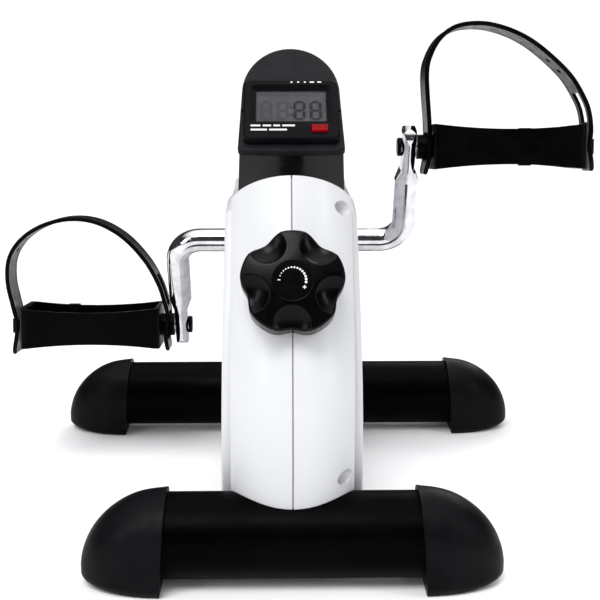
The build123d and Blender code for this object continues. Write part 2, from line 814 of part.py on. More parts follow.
def make_pedal(word, side, route):
    """One pedal with its spindle, lock nut, pin head, strap stud and strap."""
    centre = crank_centre + right_arm * side * crank_radius + Vector(side * pedal_offset, 0, 0)
    plan = Plane(centre, x_dir=(1, 0, 0), z_dir=pedal_up)
    front = Plane(centre, x_dir=(1, 0, 0), z_dir=Vector(0, -math.cos(tilt), math.sin(tilt)))
    half_length = pedal_length / 2
    mid_half = pedal_mid_height / 2
    dish = (pedal_end_height - pedal_mid_height) / 2
    dish_radius = (half_length ** 2 + dish ** 2) / (2 * dish)
    blank_half = half_length + 5
    blank_height = mid_half + dish_radius - math.sqrt(dish_radius ** 2 - blank_half ** 2)
    inner_length = pedal_length - 2 * pedal_wall
    inner_depth = pedal_depth - 2 * pedal_wall
    boss_length = pedal_offset - half_length - arm_offset - arm_eye_half_thickness - 0.4
    with BuildPart() as pedal:
        with BuildSketch(front):
            with BuildLine():
                ThreePointArc((-blank_half, blank_height), (0, mid_half), (blank_half, blank_height))
                Line((blank_half, blank_height), (blank_half, -blank_height))
                ThreePointArc((blank_half, -blank_height), (0, -mid_half), (-blank_half, -blank_height))
                Line((-blank_half, -blank_height), (-blank_half, blank_height))
            make_face()
        extrude(amount=pedal_depth / 2, both=True)
        with BuildSketch(plan):
            RectangleRounded(pedal_length, pedal_depth, 5)
            RectangleRounded(inner_length, inner_depth, 2, mode=Mode.SUBTRACT)
        extrude(amount=pedal_end_height, both=True, mode=Mode.INTERSECT)
        with BuildSketch(plan):
            with Locations((side * pedal_tab_offset, pedal_depth / 2 - 4)):
                Rectangle(pedal_tab_width, 6)
        extrude(amount=mid_half + 1.3, both=True)
        with BuildSketch(cross_plane(centre, side * (half_length - 1), -side)):
            Circle(pedal_tube_radius)
        extrude(amount=pedal_length - 1 + boss_length)
        with BuildSketch(cross_plane(centre, side * (half_length + 1), -side)):
            Circle(spindle_radius + fit_clearance)
        extrude(amount=pedal_length + boss_length + 2, mode=Mode.SUBTRACT)
        with BuildSketch(cross_plane(centre, side * (half_length - 14), side)):
            Circle(6)
        extrude(amount=14, mode=Mode.SUBTRACT)
    save(pedal, f"{word}_pedal")
    with BuildPart() as stud:
        with BuildSketch(cross_plane(centre, side * (half_length - 6), side)):
            Circle(6)
        extrude(amount=6)
        with BuildSketch(plan.offset(-3.5)):
            with Locations((side * (half_length + stud_reach / 2), 0)):
                Rectangle(stud_reach, 9)
        extrude(amount=7)
        with BuildSketch(plan.offset(-5)):
            with Locations((side * (half_length + stud_reach + 0.9), 0)):
                RectangleRounded(1.8, 12, 0.6)
        extrude(amount=10)
    save(stud, f"{word}_strap_stud")
    with BuildPart() as spindle:
        with BuildSketch(cross_plane(centre, side * (half_length - 9), -side)):
            Circle(spindle_radius)
        extrude(amount=pedal_offset + half_length - 9 - arm_offset + arm_eye_half_thickness)
    save(spindle, f"{word}_spindle")
    with BuildPart() as cap:
        inner_side = arm_offset - arm_eye_half_thickness - pedal_offset
        with BuildSketch(cross_plane(centre, side * inner_side, -side)):
            Circle(pin_head_radius)
        extrude(amount=2.5)
        fillet(cap.faces().sort_by(Axis.X)[0 if side > 0 else -1].edges(), radius=1)
    save(cap, f"{word}_pin_head")
    with BuildPart() as nut:
        with BuildSketch(cross_plane(centre, side * (half_length - 13), side)):
            RegularPolygon(5.6, 6)
            Circle(spindle_radius, mode=Mode.SUBTRACT)
        extrude(amount=4)
    save(nut, f"{word}_spindle_nut")
    with BuildPart() as strap:
        with BuildLine(front) as line:
            Spline(*route)
        start = line.line ^ 0
        with BuildSketch(Plane(start.position, x_dir=front.z_dir, z_dir=line.line % 0)):
            Rectangle(strap_width, strap_thickness)
        sweep()
        with BuildSketch(cross_plane(centre, 0, -side)):
            Circle(pedal_tube_radius + 0.5)
        extrude(amount=2 * half_length, mode=Mode.SUBTRACT)
        with BuildSketch(plan.offset(-4.2)):
            with Locations((side * 1.5 * half_length, 0)):
                Rectangle(half_length, 10.2)
        extrude(amount=8.4, mode=Mode.SUBTRACT)
        with BuildSketch(plan.offset(slot_start)):
            with Locations((half_length, 0)):
                Rectangle(half_length, slot_width)
        extrude(amount=slot_rise, mode=Mode.SUBTRACT)
    save(strap, f"{word}_strap")


make_stabilizer("front_stabilizer_tube", front_tube_y, front_foot_face + tube_in_foot)
make_stabilizer("rear_stabilizer_tube", rear_tube_y, rear_foot_face + tube_in_foot)
for word, side in (("left", -1), ("right", 1)):
    make_foot(f"front_{word}_foot", side, front_tube_y, front_foot_face)
    make_foot(f"rear_{word}_foot", side, rear_tube_y, rear_foot_face)
    make_frame_plate(f"{word}_frame_plate", side)
    make_bush(f"{word}_axle_bush", side)
    make_crank(f"{word}_crank", side)
make_pedal("left", -1, left_strap_route)
make_pedal("right", 1, right_strap_route)
make_rail()
make_frame_bolts()
make_hub()
make_drum()
make_sensor()
make_band()
make_knob()
make_screw()
make_shells()
make_neck()
make_console_cover()
make_meter()
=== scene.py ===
import json
import math

import bmesh
import bpy
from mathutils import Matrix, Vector


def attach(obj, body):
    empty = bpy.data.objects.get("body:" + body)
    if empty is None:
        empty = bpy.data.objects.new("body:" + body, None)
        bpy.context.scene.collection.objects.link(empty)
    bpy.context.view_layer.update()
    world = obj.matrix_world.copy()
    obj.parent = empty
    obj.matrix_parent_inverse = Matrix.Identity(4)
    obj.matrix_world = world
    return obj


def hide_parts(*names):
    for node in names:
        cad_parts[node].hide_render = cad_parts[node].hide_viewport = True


# Looks of a pedal exerciser. X runs across, +Y away from the user, +Z up, metres throughout.
# Outlines on the knob, the meter and the straps are in millimetres, and their places are scaled by MM.

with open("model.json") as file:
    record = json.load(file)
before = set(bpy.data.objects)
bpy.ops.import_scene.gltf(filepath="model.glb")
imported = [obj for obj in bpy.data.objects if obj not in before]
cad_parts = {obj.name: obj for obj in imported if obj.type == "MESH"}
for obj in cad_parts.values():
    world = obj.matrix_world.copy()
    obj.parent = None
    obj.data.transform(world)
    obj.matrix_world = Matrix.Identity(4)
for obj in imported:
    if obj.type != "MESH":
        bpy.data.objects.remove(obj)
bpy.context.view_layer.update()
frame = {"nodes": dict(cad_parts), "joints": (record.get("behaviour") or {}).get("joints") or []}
nodes = frame["nodes"]
pivots = {joint["name"]: Vector(joint["pos_m"]) for joint in frame["joints"] if "pos_m" in joint}

MM = 0.001

# ---- places and slopes of the tilted faces ----
FACE_SLOPE = math.radians(40)
FACE_RISE = Vector((0, math.cos(FACE_SLOPE), math.sin(FACE_SLOPE)))
FACE_NORMAL = Vector((0, -math.sin(FACE_SLOPE), math.cos(FACE_SLOPE)))
FACE_FOOT = Vector((0, -108, 245))
METER_ALONG = 30.5
METER_SPOT = (FACE_FOOT + FACE_RISE * METER_ALONG) * MM
KNOB_TILT = math.radians(24)
KNOB_RISE = Vector((0, math.sin(KNOB_TILT), math.cos(KNOB_TILT)))
KNOB_NORMAL = Vector((0, -math.cos(KNOB_TILT), math.sin(KNOB_TILT)))
KNOB_SPOT = pivots["knob_turn"]
PEDAL_TILT = math.radians(5)

# ---- camera ----
CAMERA_SPOT = (-0.00745, -0.8325, 0.3067)
CAMERA_PITCH = math.radians(11.64)
CAMERA_YAW = -0.017
CAMERA_LENS = 75.26
CAMERA_SENSOR = 36
CAMERA_NEAR_CLIP = 0.01

# ---- materials ----
CLOUD_DETAIL = 5.0
WEAR_DETAIL = 6.0
WEAR_FINENESS = 3
EDGE_SAMPLES = 4
PITS_PER_METRE = 260.0
PIT_ROUGHNESS = 0.35
PIT_CORE = 0.05
PIT_RIM = 0.14
FAINT_SEGMENTS = 0.047
BOLD_SEGMENTS = 0.018

# ---- light ----
SKY_LIGHT = 0.75
SKY_TINT = (0.97, 0.98, 1, 1)
SURROUND_TINT = (0.022, 0.022, 0.024)
CEILING_TINT = (1.0, 1.0, 1.0)
CEILING_LIGHT = 2.2
CEILING_START = 0.66
CEILING_FULL = 0.97
BACKDROP_LIGHT = 1.05
KEY_SUN_FROM = (-0.20, -0.50, 0.84)
KEY_SUN_LIGHT = 1.9
KEY_SUN_SPREAD = 28
BACK_SUN_FROM = (0.35, 0.75, 0.55)
BACK_SUN_LIGHT = 0.8
BACK_SUN_SPREAD = 35
STRIP_TARGET = (0, 0, 0.25)
STRIP_HEIGHT = 0.9
LEFT_STRIP_SPOT = (-0.95, -0.85, 0.75)
LEFT_STRIP_WIDTH = 0.35
LEFT_STRIP_WATTS = 5
RIGHT_STRIP_SPOT = (1.0, -0.6, 0.7)
RIGHT_STRIP_WIDTH = 0.16
RIGHT_STRIP_WATTS = 3.6
FLOOR_HALF = 6


# ---------------------------------------------------------------- node helpers

def add_node(tree, kind, inputs=None, **settings):
    """One shader node with its settings, and its inputs as values or links."""
    made = tree.nodes.new(kind)
    for key, value in settings.items():
        setattr(made, key, value)
    for socket, value in (inputs or {}).items():
        if isinstance(value, bpy.types.NodeSocket):
            tree.links.new(value, made.inputs[socket])
        else:
            made.inputs[socket].default_value = value
    return made


def noise(tree, place, size, detail=3.0):
    """Noise with features of one size in metres."""
    made = add_node(tree, "ShaderNodeTexNoise", {"Vector": place, "Scale": 1 / size, "Detail": detail})
    return made.outputs["Fac"]


def remap(tree, value, low, high, start=0.35, end=0.65):
    """Value stretched from start..end to low..high and clamped."""
    inputs = {"Value": value, "From Min": start, "From Max": end, "To Min": low, "To Max": high}
    return add_node(tree, "ShaderNodeMapRange", inputs).outputs["Result"]


def two_tone(tree, value, dark, light, start=0.35, end=0.65):
    """Colour that runs from dark to light with a value."""
    ramp = add_node(tree, "ShaderNodeValToRGB", {"Fac": value})
    ramp.color_ramp.elements[0].position = start
    ramp.color_ramp.elements[1].position = end
    ramp.color_ramp.elements[0].color = (*dark, 1)
    ramp.color_ramp.elements[1].color = (*light, 1)
    return ramp.outputs["Color"]


def surface(name, dark, light, rough, blotch=0.03, grain=0.0006, depth=0.00001, edge=0.0, spread=0.15,
            **uniform):
    """Material with clouded colour, uneven roughness, a fine bump and softened edges."""
    made = bpy.data.materials.new(name)
    made.use_nodes = True
    tree = made.node_tree
    shader = tree.nodes["Principled BSDF"]
    place = add_node(tree, "ShaderNodeTexCoord").outputs["Object"]
    cloud = noise(tree, place, blotch, CLOUD_DETAIL)
    fine = noise(tree, place, grain)
    wear = noise(tree, place, blotch / WEAR_FINENESS, WEAR_DETAIL)
    ends = (0.5 - spread, 0.5 + spread)
    tree.links.new(two_tone(tree, cloud, dark, light, *ends), shader.inputs["Base Color"])
    tree.links.new(remap(tree, wear, *rough, *ends), shader.inputs["Roughness"])
    bump = add_node(tree, "ShaderNodeBump", {"Height": fine, "Distance": depth, "Strength": 1.0})
    if edge:
        rounded = add_node(tree, "ShaderNodeBevel", {"Radius": edge}, samples=EDGE_SAMPLES)
        tree.links.new(rounded.outputs["Normal"], bump.inputs["Normal"])
    tree.links.new(bump.outputs["Normal"], shader.inputs["Normal"])
    for socket, value in uniform.items():
        shader.inputs[socket.replace("_", " ")].default_value = value
    return made


# ---------------------------------------------------------------- materials

def white_plastic():
    """Moulded white shell: satin gloss with a faint orange peel."""
    return surface("white_plastic", dark=(0.570, 0.575, 0.592), light=(0.584, 0.589, 0.606),
                   rough=(0.29, 0.33), blotch=0.06, grain=0.0025, depth=0.000012, edge=0.0008,
                   spread=0.25, Specular_IOR_Level=0.3)


def gloss_black():
    """Piano-black neck with a faint waviness."""
    return surface("gloss_black", dark=(0.0012, 0.0012, 0.0016), light=(0.0026, 0.0026, 0.0032),
                   rough=(0.07, 0.12), blotch=0.02, grain=0.006, depth=0.000008, edge=0.0006,
                   Specular_IOR_Level=0.26)


def charcoal_plastic():
    """Console plastic with a spark-eroded texture."""
    return surface("charcoal_plastic", dark=(0.0055, 0.0058, 0.007), light=(0.0085, 0.0089, 0.0104),
                   rough=(0.36, 0.50), blotch=0.02, grain=0.00045, depth=0.000035, edge=0.0005,
                   Specular_IOR_Level=0.07)


def bezel_plastic():
    """Meter frame: a little smoother and darker than the console."""
    return surface("bezel_plastic", dark=(0.002, 0.0022, 0.0028), light=(0.0034, 0.0036, 0.0044),
                   rough=(0.30, 0.40), blotch=0.02, grain=0.0005, depth=0.00002, edge=0.0004,
                   Specular_IOR_Level=0.035)


def knob_plastic():
    """Satin black knob."""
    return surface("knob_plastic", dark=(0.0004, 0.0004, 0.0006), light=(0.001, 0.001, 0.0014),
                   rough=(0.20, 0.30), blotch=0.02, grain=0.0007, depth=0.00002, edge=0.0003,
                   Specular_IOR_Level=0.10)


def pedal_plastic():
    """Black moulded pedal with an uneven satin sheen."""
    return surface("pedal_plastic", dark=(0.0003, 0.0003, 0.0005), light=(0.0011, 0.0011, 0.0014),
                   rough=(0.26, 0.42), blotch=0.03, grain=0.0009, depth=0.00003, edge=0.0007,
                   Specular_IOR_Level=0.04)


def strap_plastic():
    """Soft black strap plastic with a fine grain."""
    return surface("strap_plastic", dark=(0.0008, 0.0008, 0.001), light=(0.002, 0.002, 0.0024),
                   rough=(0.26, 0.38), blotch=0.015, grain=0.0008, depth=0.00003, edge=0.0003,
                   Specular_IOR_Level=0.05)


def foot_rubber():
    """Charcoal rubber foot with a dull, slightly uneven sheen."""
    return surface("foot_rubber", dark=(0.0018, 0.0019, 0.0026), light=(0.0036, 0.0038, 0.0046),
                   rough=(0.38, 0.52), blotch=0.025, grain=0.0006, depth=0.00004, edge=0.0009,
                   Specular_IOR_Level=0.06)


def powder_coat():
    """Black powder coat with its orange peel."""
    return surface("powder_coat", dark=(0.0002, 0.0002, 0.0004), light=(0.0008, 0.0008, 0.0011),
                   rough=(0.32, 0.42), blotch=0.05, grain=0.0011, depth=0.00005, edge=0.0005,
                   Specular_IOR_Level=0.02)


def chrome():
    """Chrome plating with wipe marks and a few pits."""
    made = surface("chrome", dark=(0.56, 0.56, 0.58), light=(0.76, 0.76, 0.78), rough=(0.05, 0.14),
                   blotch=0.007, grain=0.004, depth=0.00003, edge=0.0004, Metallic=1.0)
    tree = made.node_tree
    shader = tree.nodes["Principled BSDF"]
    place = add_node(tree, "ShaderNodeTexCoord").outputs["Object"]
    cells = {"Vector": place, "Scale": PITS_PER_METRE, "Randomness": 1.0}
    pits = add_node(tree, "ShaderNodeTexVoronoi", cells)
    spots = remap(tree, pits.outputs["Distance"], PIT_ROUGHNESS, 0.0, PIT_CORE, PIT_RIM)
    base = shader.inputs["Roughness"].links[0].from_socket
    rough = add_node(tree, "ShaderNodeMath", {0: base, 1: spots}, operation="ADD", use_clamp=True)
    tree.links.new(rough.outputs["Value"], shader.inputs["Roughness"])
    return made


def zinc():
    """Bright zinc-plated steel."""
    return surface("zinc", dark=(0.42, 0.43, 0.45), light=(0.55, 0.56, 0.58), rough=(0.24, 0.38),
                   blotch=0.006, grain=0.0005, depth=0.00002, edge=0.0003, Metallic=1.0)


def sintered_iron():
    """Turned grey iron of the brake drum."""
    return surface("sintered_iron", dark=(0.10, 0.10, 0.105), light=(0.17, 0.17, 0.175),
                   rough=(0.38, 0.52), blotch=0.008, grain=0.0004, depth=0.00004, edge=0.0003,
                   Metallic=0.9)


def bronze():
    """Oil-filled bronze bush."""
    return surface("bronze", dark=(0.30, 0.19, 0.08), light=(0.42, 0.28, 0.12), rough=(0.28, 0.40),
                   blotch=0.006, grain=0.0004, depth=0.00002, edge=0.0003, Metallic=1.0)


def felt():
    """Grey felt-lined brake band."""
    return surface("felt", dark=(0.05, 0.05, 0.052), light=(0.09, 0.09, 0.093), rough=(0.80, 0.95),
                   blotch=0.004, grain=0.0007, depth=0.0002, Sheen_Weight=0.4)


def solder_mask():
    """Green circuit board."""
    return surface("solder_mask", dark=(0.008, 0.07, 0.025), light=(0.012, 0.10, 0.035),
                   rough=(0.22, 0.34), blotch=0.008, grain=0.0012, depth=0.00003)


def cell_wrap():
    """Printed sleeve of the battery."""
    return surface("cell_wrap", dark=(0.03, 0.035, 0.10), light=(0.04, 0.05, 0.14), rough=(0.18, 0.26),
                   blotch=0.01, grain=0.001, depth=0.00001)


def red_plastic():
    """Red button."""
    return surface("red_plastic", dark=(0.15, 0.0006, 0.002), light=(0.20, 0.0012, 0.0035),
                   rough=(0.22, 0.32), blotch=0.006, grain=0.0006, depth=0.00002, edge=0.0004,
                   Specular_IOR_Level=0.07)


def white_ink():
    """Pad-printed white."""
    return surface("white_ink", dark=(0.76, 0.76, 0.76), light=(0.84, 0.84, 0.84), rough=(0.40, 0.52),
                   blotch=0.002, grain=0.0002, depth=0.00001)


def display_grey():
    """Unlit reflective display: faintly clouded grey."""
    return surface("display_grey", dark=(0.066, 0.069, 0.074), light=(0.082, 0.085, 0.091),
                   rough=(0.34, 0.44), blotch=0.012, grain=0.0003, depth=0.00001,
                   Specular_IOR_Level=0.08)


def segment_ink(name, tone):
    """Display segment, darker than the ground behind it."""
    return surface(name, dark=(tone, tone, tone * 1.05), light=(tone * 1.15, tone * 1.15, tone * 1.2),
                   rough=(0.34, 0.42), blotch=0.004, grain=0.0003, depth=0.000005,
                   Specular_IOR_Level=0.08)


def clear_window():
    """Clear glossy window over the display."""
    return surface("clear_window", dark=(0.01, 0.01, 0.011), light=(0.016, 0.016, 0.017),
                   rough=(0.03, 0.06), blotch=0.02, grain=0.004, depth=0.000003, Alpha=0.10,
                   Specular_IOR_Level=0.12)


def floor_paint():
    """Pale seamless studio floor."""
    return surface("floor_paint", dark=(0.90, 0.90, 0.90), light=(0.92, 0.92, 0.92), rough=(0.55, 0.65),
                   blotch=0.5, grain=0.004, depth=0.00001)


# ---------------------------------------------------------------- mesh helpers

def finish_piece(name, mesh, body, material, smooth=True):
    """Object from a bmesh, riding on a body."""
    data = bpy.data.meshes.new(name)
    bmesh.ops.recalc_face_normals(mesh, faces=mesh.faces)
    mesh.to_mesh(data)
    mesh.free()
    data.materials.append(material)
    for face in data.polygons:
        face.use_smooth = smooth
    made = bpy.data.objects.new(name, data)
    bpy.context.scene.collection.objects.link(made)
    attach(made, body)
    return made


def modifier(piece, kind, **settings):
    """Modifier with its settings."""
    made = piece.modifiers.new(kind.title(), kind)
    for key, value in settings.items():
        setattr(made, key, value)
    return made


def meter_point(across, up, out):
    """Point on the meter's face from millimetres across it, up it and out of it."""
    return METER_SPOT + (Vector((across, 0, 0)) + FACE_RISE * up + FACE_NORMAL * out) * MM


def knob_point(across, up, out):
    """Point on the knob from millimetres across its face, up it and along its axis."""
    return KNOB_SPOT + (Vector((across, 0, 0)) + KNOB_RISE * up + KNOB_NORMAL * out) * MM


def join_rings(mesh, before, after):
    """Quads between two closed rings of as many points."""
    for index in range(len(before)):
        following = (index + 1) % len(before)
        mesh.faces.new((before[index], before[following], after[following], after[index]))


def add_plate(mesh, outline, place, low, high):
    """Closed flat plate between two heights over an outline in a placed plane."""
    bottom = [mesh.verts.new(place(x, y, low)) for x, y in outline]
    top = [mesh.verts.new(place(x, y, high)) for x, y in outline]
    mesh.faces.new(top)
    mesh.faces.new(bottom[::-1])
    join_rings(mesh, bottom, top)


def round_outline(x, y, radius):
    """Points round a circle."""
    turns = [2 * math.pi * index / DOT_POINTS for index in range(DOT_POINTS)]
    return [(x + radius * math.cos(turn), y + radius * math.sin(turn)) for turn in turns]


def bar_outline(x, y, width, height):
    """Rectangle about a centre."""
    return [(x - width / 2, y - height / 2), (x + width / 2, y - height / 2),
            (x + width / 2, y + height / 2), (x - width / 2, y + height / 2)]


# ---------------------------------------------------------------- knob

KNOB_FRONT = 22
KNOB_BACK = 4
LOBES = 5
LOBE_RADIUS = 29.2
NOTCH_DEPTH = 3.2
NOTCH_SHARPNESS = 2.4
DISH_TURNS = [math.radians(53 + 360 / LOBES * index) for index in range(LOBES)]
DISH_REACH = 26.5
DISH_BALL = 16
DISH_LIFT = 9.4
DOME = 3.0
DISC_RADIUS = 11
DISC_DEPTH = 1
RIM_ROUND = 1.1
RIM_STEPS = ((0.15, 0.72), (0.5, 0.29), (1.0, 0.05), (1.6, 0.0))
BACK_ROUND = 0.9
KNOB_BEVEL = 0.4
KNOB_BEVEL_ANGLE = math.radians(60)
KNOB_SEGMENTS = 300
FACE_RINGS = 30
FACE_SHARES = [index / FACE_RINGS for index in range(FACE_RINGS)] + [0.985, 1.0]
KNOB_TURNS = [2 * math.pi * index / KNOB_SEGMENTS for index in range(KNOB_SEGMENTS)]


def notch_share(turn):
    """0 along a lobe, 1 in the middle of the notch between two lobes."""
    return ((1 + math.cos(LOBES * (turn - DISH_TURNS[0]))) / 2) ** NOTCH_SHARPNESS


def rim_radius(turn, inset):
    """Radius of the knob's outline, pulled in by a share of the rim's rounding."""
    return LOBE_RADIUS - NOTCH_DEPTH * notch_share(turn) - RIM_ROUND * inset


def face_height(x, y):
    """Height of the knob's face: slightly domed, with a ball-shaped dish between each two lobes."""
    outside_disc = x * x + y * y - DISC_RADIUS ** 2
    height = KNOB_FRONT - DOME * outside_disc / (LOBE_RADIUS ** 2 - DISC_RADIUS ** 2)
    for turn in DISH_TURNS:
        away = math.hypot(x - DISH_REACH * math.cos(turn), y - DISH_REACH * math.sin(turn))
        if away < DISH_BALL:
            ball = KNOB_FRONT + DISH_LIFT - math.sqrt(DISH_BALL ** 2 - away ** 2)
            height = min(height, ball)
    return height


def knob_ring(mesh, radii, heights):
    """Ring of points on the knob, one for each turn."""
    spots = zip(KNOB_TURNS, radii, heights)
    return [mesh.verts.new(knob_point(radius * math.cos(turn), radius * math.sin(turn), height))
            for turn, radius, height in spots]


def build_knob(material):
    """Five-lobed knob with a dish between each two lobes, as rings of points from front to back."""
    mesh = bmesh.new()
    rings = []
    for share in FACE_SHARES:
        radii = [DISC_RADIUS + (rim_radius(turn, 1) - DISC_RADIUS) * share for turn in KNOB_TURNS]
        spots = zip(KNOB_TURNS, radii)
        heights = [face_height(radius * math.cos(turn), radius * math.sin(turn)) for turn, radius in spots]
        rings.append(knob_ring(mesh, radii, heights))
    for drop, inset in RIM_STEPS:
        radii = [rim_radius(turn, inset) for turn in KNOB_TURNS]
        rings.append(knob_ring(mesh, radii, [height - drop for height in heights]))
    for inset in (0.0, 1.0):
        radii = [rim_radius(turn, inset) for turn in KNOB_TURNS]
        rings.append(knob_ring(mesh, radii, [KNOB_BACK + BACK_ROUND * (1 - inset)] * KNOB_SEGMENTS))
    for before, after in zip(rings, rings[1:]):
        join_rings(mesh, before, after)
    sunk = knob_ring(mesh, [DISC_RADIUS] * KNOB_SEGMENTS, [KNOB_FRONT - DISC_DEPTH] * KNOB_SEGMENTS)
    join_rings(mesh, rings[0], sunk)
    mesh.faces.new(sunk)
    mesh.faces.new(rings[-1])
    knob = finish_piece("knob_grip", mesh, "knob", material)
    modifier(knob, "BEVEL", width=KNOB_BEVEL * MM, segments=3, limit_method="ANGLE",
             angle_limit=KNOB_BEVEL_ANGLE)
    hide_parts("tension_knob")


ARC_RADIUS = 7.3
ARC_START = 160
ARC_SWEEP = 168
ARC_DOTS = 14
DOT_POINTS = 14
FIRST_DOT = 0.3
DOT_GROWTH = 0.42
DISC_INK = (KNOB_FRONT - 0.2, KNOB_FRONT - 0.14)
MINUS_BAR = (-7.5, 0.2, 1.5, 0.45)
PLUS_FLAT_BAR = (6.4, -3.8, 2.0, 0.5)
PLUS_UPRIGHT_BAR = (6.4, -3.8, 0.5, 2.0)
INK_STEP = 0.01


def build_knob_marks(material):
    """Printed arc of growing dots between a minus and a plus."""
    mesh = bmesh.new()
    low, high = DISC_INK
    for index in range(ARC_DOTS):
        share = index / (ARC_DOTS - 1)
        turn = math.radians(ARC_START - ARC_SWEEP * share)
        spot = (ARC_RADIUS * math.cos(turn), ARC_RADIUS * math.sin(turn))
        dot = round_outline(*spot, FIRST_DOT + DOT_GROWTH * share)
        add_plate(mesh, dot, knob_point, low, high)
    add_plate(mesh, bar_outline(*MINUS_BAR), knob_point, low, high)
    add_plate(mesh, bar_outline(*PLUS_FLAT_BAR), knob_point, low, high)
    add_plate(mesh, bar_outline(*PLUS_UPRIGHT_BAR), knob_point, low, high + INK_STEP)
    finish_piece("knob_marks", mesh, "knob", material, smooth=False)


# ---------------------------------------------------------------- meter

FLAT_SEGMENTS = ((0, 1), (0, 0), (0, -1))
UPRIGHT_SEGMENTS = ((1, 0.5), (1, -0.5), (-1, -0.5), (-1, 0.5))
SEGMENT_HALF_THICKNESS = 1.0
SEGMENT_GAP = 0.25
DIGIT_HALF_WIDTH = 2.7
DIGIT_HALF_HEIGHT = 7.3
DIGIT_Y = 1.0
FAINT_DIGITS = (-14.7, -4.9)
BOLD_DIGITS = (4.9, 14.5)
COLON_DOTS = (-2.6, 3.8)
COLON_SIZE = 1.4
FLAGS = (-17.5, -12.5, -7.0, -1.5, 4.0, 9.5, 15.0)
FLAG_SIZE = (3.2, 1.1)
FLAG_Y = 14.6
DISPLAY_INK = (2.04, 2.1)
TOP_DASHES = ((0.4, 1.2), (4.4, 1.2), (8.4, 1.2), (12.6, 2.6), (17.0, 2.4))
TOP_DASH_HEIGHT = 0.9
TOP_DASH_Y = 22.6
LOW_ROWS = ((-14.6, (5.6, 4.8, 3.8, 7.2)), (-18.0, (9.4, 10.2)))
LOW_ROW_START = -23.6
LOW_DASH_HEIGHT = 1.3
LOW_DASH_GAP = 1.4
BEZEL_INK = (5.0, 5.04)


def add_digit(mesh, x):
    """Seven pointed bars of one digit."""
    thick = SEGMENT_HALF_THICKNESS
    for across, up in FLAT_SEGMENTS + UPRIGHT_SEGMENTS:
        flat = across == 0
        reach = (DIGIT_HALF_WIDTH if flat else DIGIT_HALF_HEIGHT / 2) - SEGMENT_GAP
        cx, cy = x + across * DIGIT_HALF_WIDTH, DIGIT_Y + up * DIGIT_HALF_HEIGHT
        ends = [(-reach, 0), (thick - reach, thick), (reach - thick, thick), (reach, 0),
                (reach - thick, -thick), (thick - reach, -thick)]
        outline = [(cx + a, cy + b) if flat else (cx + b, cy + a) for a, b in ends]
        add_plate(mesh, outline, meter_point, *DISPLAY_INK)


def build_display(faint, bold):
    """Digits behind the window: a faint pair under small flags, and a bolder pair with the colon."""
    flags = [bar_outline(x, FLAG_Y, *FLAG_SIZE) for x in FLAGS]
    colon = [bar_outline(0, y, COLON_SIZE, COLON_SIZE) for y in COLON_DOTS]
    groups = (("faint_digits", FAINT_DIGITS, flags, faint), ("bold_digits", BOLD_DIGITS, colon, bold))
    for name, spots, bars, material in groups:
        mesh = bmesh.new()
        for x in spots:
            add_digit(mesh, x)
        for bar in bars:
            add_plate(mesh, bar, meter_point, *DISPLAY_INK)
        finish_piece(name, mesh, "base", material, smooth=False)


def build_meter_marks(material):
    """Plain printed dashes above the window and in two rows below it."""
    mesh = bmesh.new()
    for x, width in TOP_DASHES:
        add_plate(mesh, bar_outline(x, TOP_DASH_Y, width, TOP_DASH_HEIGHT), meter_point, *BEZEL_INK)
    for y, widths in LOW_ROWS:
        x = LOW_ROW_START
        for width in widths:
            dash = bar_outline(x + width / 2, y, width, LOW_DASH_HEIGHT)
            add_plate(mesh, dash, meter_point, *BEZEL_INK)
            x += width + LOW_DASH_GAP
    finish_piece("meter_marks", mesh, "base", material, smooth=False)


# ---------------------------------------------------------------- straps

STRAP_THICKNESS = 3
STRAP_LIP = 0.35
STRAP_STEP = 2.5
STRAP_COLUMNS = (-14, -13, -8.6, -7, -5.2, -2, 2, 5.2, 7, 8.6, 13, 14)
LIP_COLUMN = 12
END_TAPER = 0.28
TAPER_REACH = 7
SLOT_LOW = 15
SLOT_HIGH = 35
SLOT_HALF_WIDTH = 7
PEG_HALF_HEIGHT = 4.6
PEG_HALF_WIDTH = 5.2
BOSS_HALF_HEIGHT = 9.4
BOSS_HALF_WIDTH = 8.6
SPARE_HOLE_ROWS = (30, 34)
ROUTE_PARTS = 20
STRAP_ROUTES = {
    "left": [(-55.5, -20), (-52.5, 0), (-55, 14), (-58.5, 32), (-57, 49), (-48, 62.5), (-33, 72),
             (-14, 76.5), (5, 74), (23, 64), (38, 48), (47.5, 31.5), (52, 18), (54, 8), (52.5, -6),
             (54, -18)],
    "right": [(-53.6, -18), (-51.1, -4), (-51.3, 14), (-53.3, 46), (-50.5, 59.5), (-44, 70), (-34, 76.5),
              (-20, 78.3), (-6, 76), (9, 70), (23, 60.5), (39, 45.5), (48.5, 30.5), (52, 21), (53.3, 10),
              (52.6, 0), (55, -16)],
}


def smooth_route(route, step):
    """Evenly spaced points along a smooth line through the route's points."""
    knots = [Vector(point) for point in route]
    knots = [2 * knots[0] - knots[1]] + knots + [2 * knots[-1] - knots[-2]]
    fine = []
    for a, b, c, d in zip(knots, knots[1:], knots[2:], knots[3:]):
        for index in range(ROUTE_PARTS):
            t = index / ROUTE_PARTS
            fine.append(0.5 * (2 * b + (c - a) * t + (2 * a - 5 * b + 4 * c - d) * t ** 2
                               + (3 * b - a - 3 * c + d) * t ** 3))
    fine.append(knots[-2])
    length = sum((after - before).length for before, after in zip(fine, fine[1:]))
    count = round(length / step)
    spots, walked, target = [fine[0]], 0.0, length / count
    for before, after in zip(fine, fine[1:]):
        run = (after - before).length
        while walked + run >= target * len(spots) and len(spots) < count:
            spots.append(before.lerp(after, (target * len(spots) - walked) / run))
        walked += run
    spots.append(fine[-1])
    return spots


